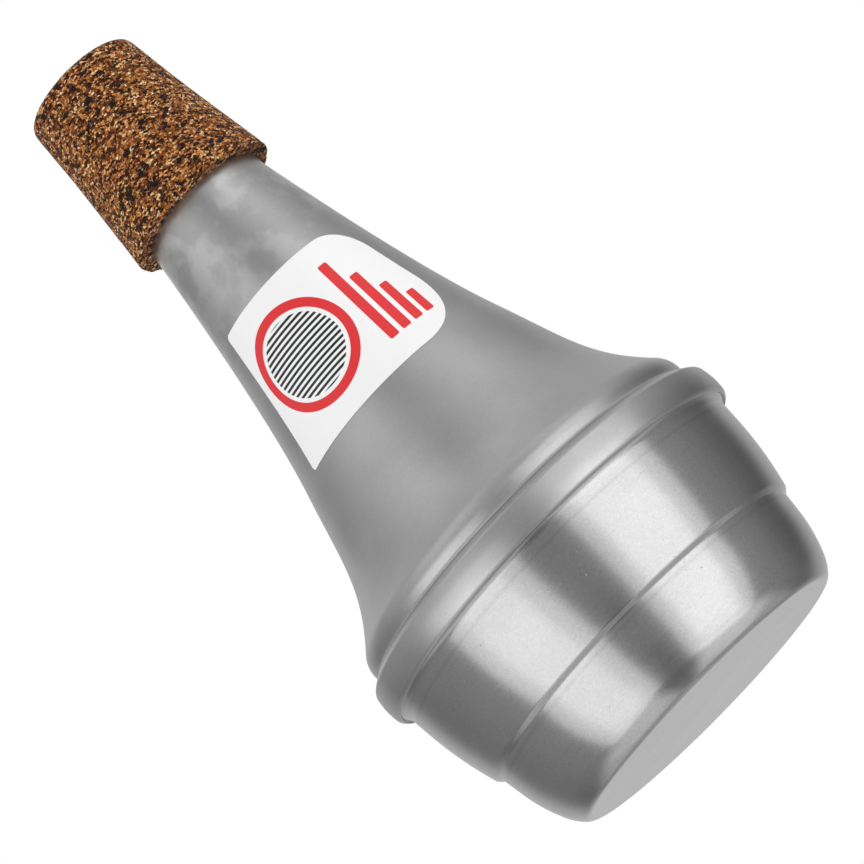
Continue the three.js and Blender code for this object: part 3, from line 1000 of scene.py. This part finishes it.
def label_print():
    """A white sticker of a made-up design: a striped disc in a red ring, and ever shorter bars."""
    material, tree, shader = new_material("printed_label_sheet")
    around = use(tree, around_group)
    middle = math.radians((LABEL_LEFT + LABEL_RIGHT) / 2)
    turned_by = calc(tree, "SUBTRACT", around["Angle"], middle)
    across = calc(tree, "MULTIPLY", turned_by, around["Radius"])
    up = calc(tree, "SUBTRACT", around["Height"], LABEL_FOOT)

    def ink(middle_across, middle_up, half_width, half_height, rounding):
        return use(tree, print_group, Across=across, Up=up, Middle_across=middle_across,
                   Middle_up=middle_up, Half_width=half_width, Half_height=half_height,
                   Rounding=rounding)["Ink"]

    def disc(radius):
        return ink(DISC_ACROSS, DISC_UP, radius, radius, radius)

    stripe = ramp(tree, calc(tree, "PINGPONG", up, STRIPE_PITCH), *STRIPE_EDGE)
    striped = calc(tree, "MULTIPLY", disc(STRIPED_RADIUS), stripe)
    red = calc(tree, "SUBTRACT", disc(RING_RADIUS), disc(RING_BORE))
    for number, half_height in enumerate(BAR_HALF_HEIGHTS):
        bar = ink(BARS_ACROSS + BAR_PITCH * number, BARS_FOOT + half_height, BAR_HALF_WIDTH,
                  half_height, BAR_ROUND)
        red = calc(tree, "MAXIMUM", red, bar)
    fibres = use(tree, fibre_group, Width=0.25, Tangle=1)["Fibres"]
    paper = blend(tree, fibres, grey(0.86), grey(0.93))
    tone = blend(tree, red, paper, colour(*PRINT_RED))
    tone = blend(tree, striped, tone, colour(*PRINT_BLACK))
    dress(tree, shader, Base_Color=tone, Roughness=spread(tree, fibres, 0.36, 0.46),
          Coat_Weight=0.15, Coat_Roughness=0.3,
          Normal=bump(tree, fibres, distance=0.01, strength=0.3))
    return material


def black_rubber():
    """Matt rubber, a little uneven, with small pits."""
    material, tree, shader = new_material("matt_black_rubber")
    clouds = use(tree, cloud_group, Size=3, Detail=4, Place=7)["Clouds"]
    pits = use(tree, pit_group, Spacing=1.1, Width=0.12, Share=0.5)["Pits"]
    tone = blend(tree, clouds, grey(0.012), grey(0.035))
    sunk = calc(tree, "MULTIPLY", pits, -RUBBER_PIT_DEPTH)
    height = calc(tree, "MULTIPLY_ADD", clouds, RUBBER_SWELL, sunk)
    dress(tree, shader, Base_Color=tone, Roughness=spread(tree, clouds, 0.5, 0.75),
          Normal=bump(tree, height, distance=1))
    return material


def grey_felt():
    """Pressed felt of tangled fibres, in uneven greys."""
    material, tree, shader = new_material("pressed_grey_felt")
    fibres = use(tree, fibre_group, Width=0.3, Tangle=3)["Fibres"]
    clouds = use(tree, cloud_group, Size=5, Detail=3, Place=2)["Clouds"]
    tone = blend(tree, ramp(tree, fibres, *FIBRE_RANGE), grey(0.06), grey(0.2))
    tone = blend(tree, calc(tree, "MULTIPLY", clouds, FELT_CLOUD_STRENGTH), tone, grey(0.1))
    dress(tree, shader, Base_Color=tone, Roughness=spread(tree, fibres, 0.88, 0.98),
          Sheen_Weight=0.4, Sheen_Roughness=0.5, Normal=bump(tree, fibres, distance=0.25))
    return material


# The studio

STAGE_MIDDLE = 60  # the height at the middle of the surroundings
LAMP_DISTANCE = 1000
WALL_DISTANCE = 1900
WALL_STEP = 6  # degrees
# The elevations between which one part of the surroundings turns into the next
CEILING_START = 5
CEILING_END = 47
LOW_START = -12
LOW_END = -26
GROUND_START = -36
GROUND_END = -46
FOOT_START = -65
FOOT_END = -90
# Pairs of an azimuth and a level: overhead, level with the mute, below it, and on the ground
CEILING_LEVELS = ((-180, 0.62), (-160, 0.76), (-120, 0.52), (-45, 0.9), (4, 0.47), (65, 0.82),
                  (120, 0.64), (160, 0.66), (180, 0.62))
WALL_LEVELS = ((-180, 0.66), (-150, 0.55), (-128, 0.26), (-80, 0.34), (0, 0.3), (80, 0.36),
               (128, 0.15), (150, 0.5), (180, 0.66))
LOW_LEVELS = ((-180, 0.55), (-158, 0.34), (-137, 0.2), (-80, 0.34), (-16, 0.31), (0, 0.18),
              (14, 0.31), (80, 0.36), (137, 0.2), (158, 0.34), (180, 0.55))
GROUND_LEVELS = ((-180, 0.55), (-150, 0.45), (-125, 0.62), (-104, 0.62), (-88, 0.84), (-30, 0.84),
                 (-15, 0.16), (12, 0.16), (25, 1.0), (86, 0.95), (104, 0.55), (125, 0.55),
                 (150, 0.45), (180, 0.55))
FOOT_LEVEL = 0.34  # straight below
# The lamps: left and right azimuth, low and high elevation, and level
MIRRORED_LAMPS = {
    "left_wide_box": (-72, -16, -44, 19, 0.76),
    "left_narrow_box": (-61, -28, -38, 4, 0.4),
    "right_wide_box": (13.5, 73, -48, 34, 0.75),
    "right_narrow_box": (23, 61, -38, 3.5, 0.61),
}
# Reflections don't show these two, which light the cork and the label
SIDE_FILLS = {
    "left_side_fill": (-105, -75, -30, 30, 1.1),
    "right_side_fill": (75, 105, -30, 30, 1.1),
}
FILL_LEVEL = 0.58  # of the world's white, for all but the eye, reflections and glass
FLOOR_DROP = 0.3
FLOOR_RADIUS = 900
FLOOR_SIDES = 96
FLOOR_FADE = 350  # how wide its edge is that melts away
FLOOR_LEVEL = 0.94
FLOOR_GLOW = 0.22  # for the eye alone: no other ray sees the floor


def direction(azimuth, elevation):
    a, e = math.radians(azimuth), math.radians(elevation)
    return Vector((math.sin(a) * math.cos(e), -math.cos(a) * math.cos(e), math.sin(e)))


def hide_from(item, *rays):
    for ray in rays:
        setattr(item, "visible_" + ray, False)


def soft_box(name, left, right, low, high, level, mirrored=True):
    """An upright lamp that fills a window of the surroundings, given by azimuths and elevations."""
    towards = direction((left + right) / 2, 0)
    foot, top = (LAMP_DISTANCE * math.tan(math.radians(edge)) for edge in (low, high))
    middle = Vector((0, 0, STAGE_MIDDLE + (foot + top) / 2))
    width = 2 * LAMP_DISTANCE * math.tan(math.radians(right - left) / 2) * MM
    height = (top - foot) * MM
    data = bpy.data.lights.new(name, "AREA")
    data.shape = "RECTANGLE"
    data.size = width
    data.size_y = height
    data.energy = level * math.pi * width * height
    lamp = bpy.data.objects.new(name, data)
    bpy.context.scene.collection.objects.link(lamp)
    lamp.location = (middle + towards * LAMP_DISTANCE) * MM
    lamp.rotation_euler = towards.to_track_quat("Z", "Y").to_euler()
    hide_from(lamp, "camera", *([] if mirrored else ["glossy"]))


def azimuth_ramp(tree, azimuth, levels):
    """Greys round the axis, from pairs of an azimuth and a level."""
    around = ramp(tree, azimuth, -math.pi, math.pi)
    stops = greys((0.5 + angle / 360, level) for angle, level in levels)
    return shades(tree, around, stops, "EASE")


def surround_shell():
    """A round shell about the stage."""
    columns = round(360 / WALL_STEP)
    rows = round(180 / WALL_STEP)
    vertices = []
    for row in range(rows + 1):
        for column in range(columns + 1):
            towards = direction(column * WALL_STEP - 180, row * WALL_STEP - 90)
            vertices.append((Vector((0, 0, STAGE_MIDDLE)) + towards * WALL_DISTANCE) * MM)
    faces = []
    for row in range(rows):
        for column in range(columns):
            a = row * (columns + 1) + column
            faces.append((a, a + 1, a + columns + 2, a + columns + 1))
    return new_object("grey_surround", vertices, faces)


def surround_glow():
    """Grey walls, low walls and ground, and a paler ceiling."""
    material = bpy.data.materials.new("grey_surround")
    material.use_nodes = True
    tree = material.node_tree
    tree.nodes.clear()
    around = use(tree, around_group)
    rise = calc(tree, "SUBTRACT", around["Height"], STAGE_MIDDLE)
    elevation = calc(tree, "ARCTAN2", rise, around["Radius"])
    walls, ceiling, low_walls, ground = (azimuth_ramp(tree, around["Angle"], levels) for levels in
                                         (WALL_LEVELS, CEILING_LEVELS, LOW_LEVELS, GROUND_LEVELS))
    overhead, low_down, on_ground, underneath = (
        ramp(tree, elevation, math.radians(start), math.radians(end))
        for start, end in ((CEILING_START, CEILING_END), (LOW_START, LOW_END),
                           (GROUND_START, GROUND_END), (FOOT_START, FOOT_END)))
    level = blend(tree, low_down, blend(tree, overhead, walls, ceiling), low_walls)
    shown = blend(tree, on_ground, level, blend(tree, underneath, ground, grey(FOOT_LEVEL)))
    glow = put(tree, "Emission", {"Color": shown})
    put(tree, "OutputMaterial", {"Surface": glow.outputs[0]})
    return material


def make_surround():
    """The surroundings, which only reflections see."""
    piece = surround_shell()
    piece.data.materials.append(surround_glow())
    hide_from(piece, "camera", "diffuse", "transmission", "volume_scatter", "shadow")


def make_floor():
    """A pale floor that keeps the shadow, melts into the white, and can't be seen from below."""
    bpy.ops.mesh.primitive_circle_add(vertices=FLOOR_SIDES, radius=FLOOR_RADIUS * MM,
                                      fill_type="NGON", location=(0, 0, -FLOOR_DROP * MM))
    floor = bpy.context.object
    floor.name = "pale_floor"
    material, tree, shader = new_material("pale_floor")
    around = use(tree, around_group)
    edge = ramp(tree, around["Radius"], FLOOR_RADIUS - FLOOR_FADE, FLOOR_RADIUS)
    hidden = calc(tree, "MAXIMUM", edge, put(tree, "NewGeometry").outputs["Backfacing"])
    dress(tree, shader, Base_Color=grey(FLOOR_LEVEL), Roughness=0.9, Specular_IOR_Level=0.1,
          Emission_Color=grey(1), Emission_Strength=FLOOR_GLOW)
    clear = put(tree, "BsdfTransparent").outputs[0]
    mixed = put(tree, "MixShader", {0: hidden, 1: shader.outputs[0], 2: clear}).outputs[0]
    tree.links.new(mixed, tree.nodes["Material Output"].inputs["Surface"])
    floor.data.materials.append(material)
    hide_from(floor, "diffuse", "glossy", "transmission", "volume_scatter", "shadow")


def make_world():
    """White to the eye and in reflections, and a plain fill for everything else."""
    world = bpy.data.worlds.new("white_studio")
    bpy.context.scene.world = world
    world.use_nodes = True
    tree = world.node_tree
    rays = put(tree, "LightPath").outputs
    seen = calc(tree, "MAXIMUM", rays["Is Camera Ray"], rays["Is Glossy Ray"])
    seen = calc(tree, "MAXIMUM", seen, rays["Is Transmission Ray"])
    level = spread(tree, seen, FILL_LEVEL, 1)
    background = tree.nodes["Background"]
    background.inputs["Color"].default_value = grey(1)
    tree.links.new(level, background.inputs["Strength"])


def make_camera():
    data = bpy.data.cameras.new("camera")
    data.sensor_width = SENSOR_WIDTH
    data.lens = SENSOR_WIDTH * FOCAL_PIXELS / FRAME_PIXELS
    camera = bpy.data.objects.new("camera", data)
    bpy.context.scene.collection.objects.link(camera)
    tilt = Matrix.Rotation(math.radians(90 + CAMERA_RISE), 4, "X")
    roll = Matrix.Rotation(math.radians(CAMERA_ROLL), 4, "Z")
    camera.matrix_world = Matrix.Translation(Vector(CAMERA_PLACE) * MM) @ tilt @ roll
    bpy.context.scene.camera = camera


def make_studio():
    make_world()
    make_floor()
    make_surround()
    for name, window in MIRRORED_LAMPS.items():
        soft_box(name, *window)
    for name, window in SIDE_FILLS.items():
        soft_box(name, *window, mirrored=False)


def dress_piece(piece, material, node):
    piece.data.materials.append(material)
    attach(piece, "root")
    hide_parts(node)


make_camera()
felt = grey_felt()
rubber = black_rubber()
cup_metal = spun_metal("spun_cup_metal", roughness=0.2, ring_depth=0.003, mottle=0.04, wear=0.09,
                       faint_rings=FAINT_RINGS)
cone_metal = spun_metal("spun_cone_metal", roughness=0.33, ring_depth=0.004, mottle=0.07, wear=0.06,
                        patches=0.5)
dress_piece(make_cup(), cup_metal, "base_cup")
dress_piece(make_cone(), cone_metal, "cone_shell")
dress_piece(make_cork(), pressed_cork(), "cork_collar")
dress_piece(make_label(), label_print(), "label")
dress_piece(make_tube(), drawn_metal(), "air_tube")
dress_piece(make_bush(), rubber, "mouth_bush")
dress_piece(make_gasket(), rubber, "seam_gasket")
dress_piece(make_neck_felt(), felt, "neck_felt")
dress_piece(make_cone_felt(), felt, "cone_felt")
dress_piece(make_cup_felt(), felt, "cup_felt")
dress_piece(make_base_felt(), felt, "base_felt")
make_studio()
bpy.context.scene.view_settings.view_transform = "Standard"
